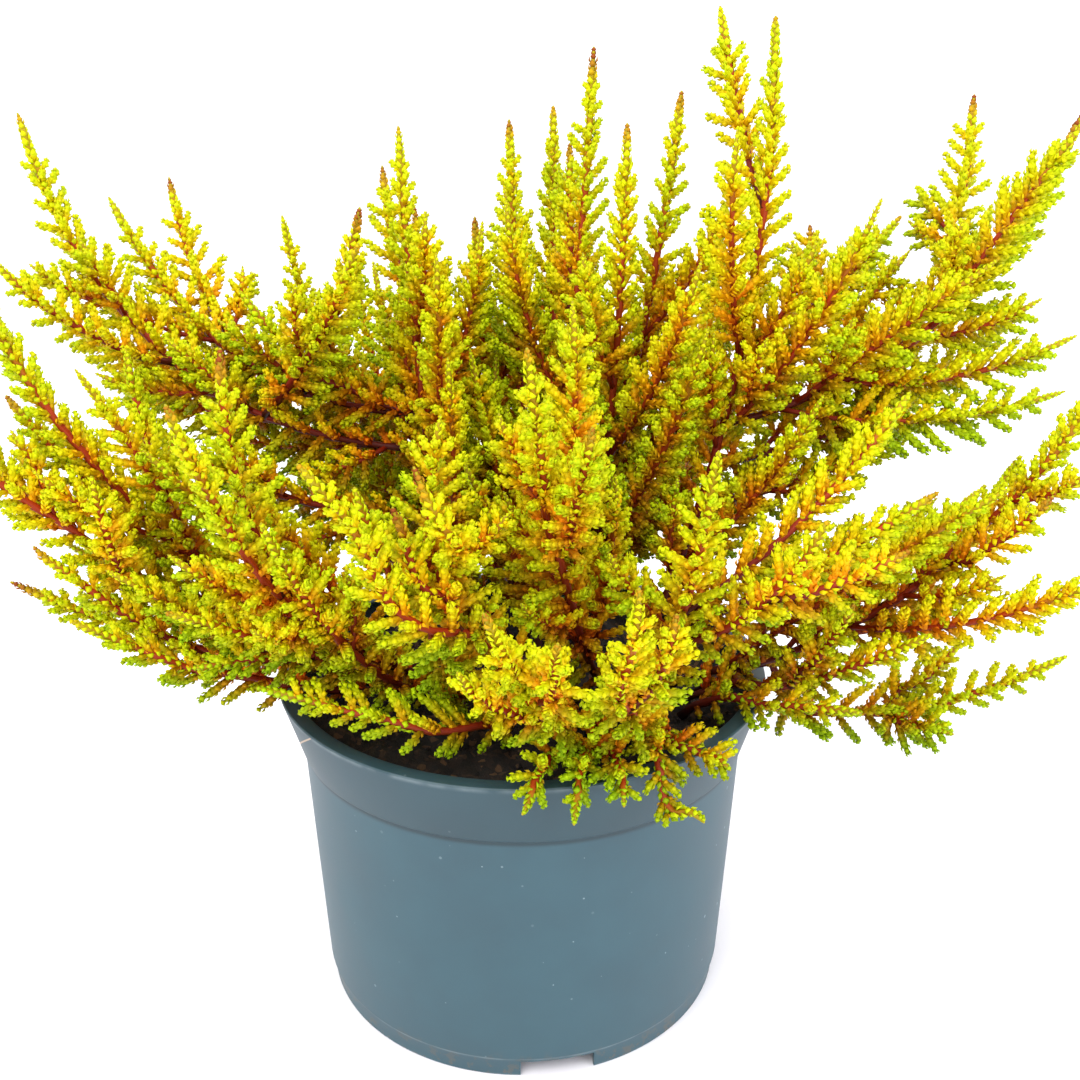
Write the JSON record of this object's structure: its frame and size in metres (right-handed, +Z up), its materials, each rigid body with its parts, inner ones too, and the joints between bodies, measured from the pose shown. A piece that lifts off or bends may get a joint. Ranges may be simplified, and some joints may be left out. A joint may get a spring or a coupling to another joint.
{
  "type": "potted heather",
  "caption": "Potted heather: a gold-leaved Calluna with long scaly shoots fanning out of a round grey plastic nursery pot with a flared collar",
  "frame": {"origin": "On the pot's axis, on the plane that the foot ring stands on, which is also the centre of the bounding box's bottom to within 2 mm", "axes": "+Z up along the pot's axis, -Y towards the front of the plant, +X to its right as seen from the front"},
  "size_m": [0.2744, 0.1993, 0.254],
  "materials": {
    "pot_plastic": "injection-moulded slate grey-blue plastic, low sheen, paler on worn edges",
    "peat": null,
    "heather_foliage": null
  },
  "bodies": {
    "root": {"pot": "pot_plastic", "soil": "peat", "shoot_back_1": "heather_foliage", "shoot_back_2": "heather_foliage", "shoot_back_3": "heather_foliage", "shoot_back_4": "heather_foliage", "shoot_back_5": "heather_foliage", "shoot_back_6": "heather_foliage", "shoot_back_7": "heather_foliage", "shoot_back_8": "heather_foliage", "shoot_back_9": "heather_foliage", "shoot_back_10": "heather_foliage", "shoot_back_11": "heather_foliage", "shoot_back_12": "heather_foliage", "shoot_back_13": "heather_foliage", "shoot_left_1": "heather_foliage", "shoot_left_2": "heather_foliage", "shoot_left_3": "heather_foliage", "shoot_left_4": "heather_foliage", "shoot_left_5": "heather_foliage", "shoot_left_6": "heather_foliage", "shoot_left_7": "heather_foliage", "shoot_left_8": "heather_foliage", "shoot_left_9": "heather_foliage", "shoot_left_10": "heather_foliage", "shoot_right_1": "heather_foliage", "shoot_right_2": "heather_foliage", "shoot_right_3": "heather_foliage", "shoot_right_4": "heather_foliage", "shoot_right_5": "heather_foliage", "shoot_right_6": "heather_foliage", "shoot_right_7": "heather_foliage", "shoot_right_8": "heather_foliage", "shoot_right_9": "heather_foliage", "shoot_right_10": "heather_foliage", "shoot_right_11": "heather_foliage", "shoot_right_12": "heather_foliage", "shoot_right_13": "heather_foliage", "shoot_right_14": "heather_foliage"}
  },
  "joints": []
}
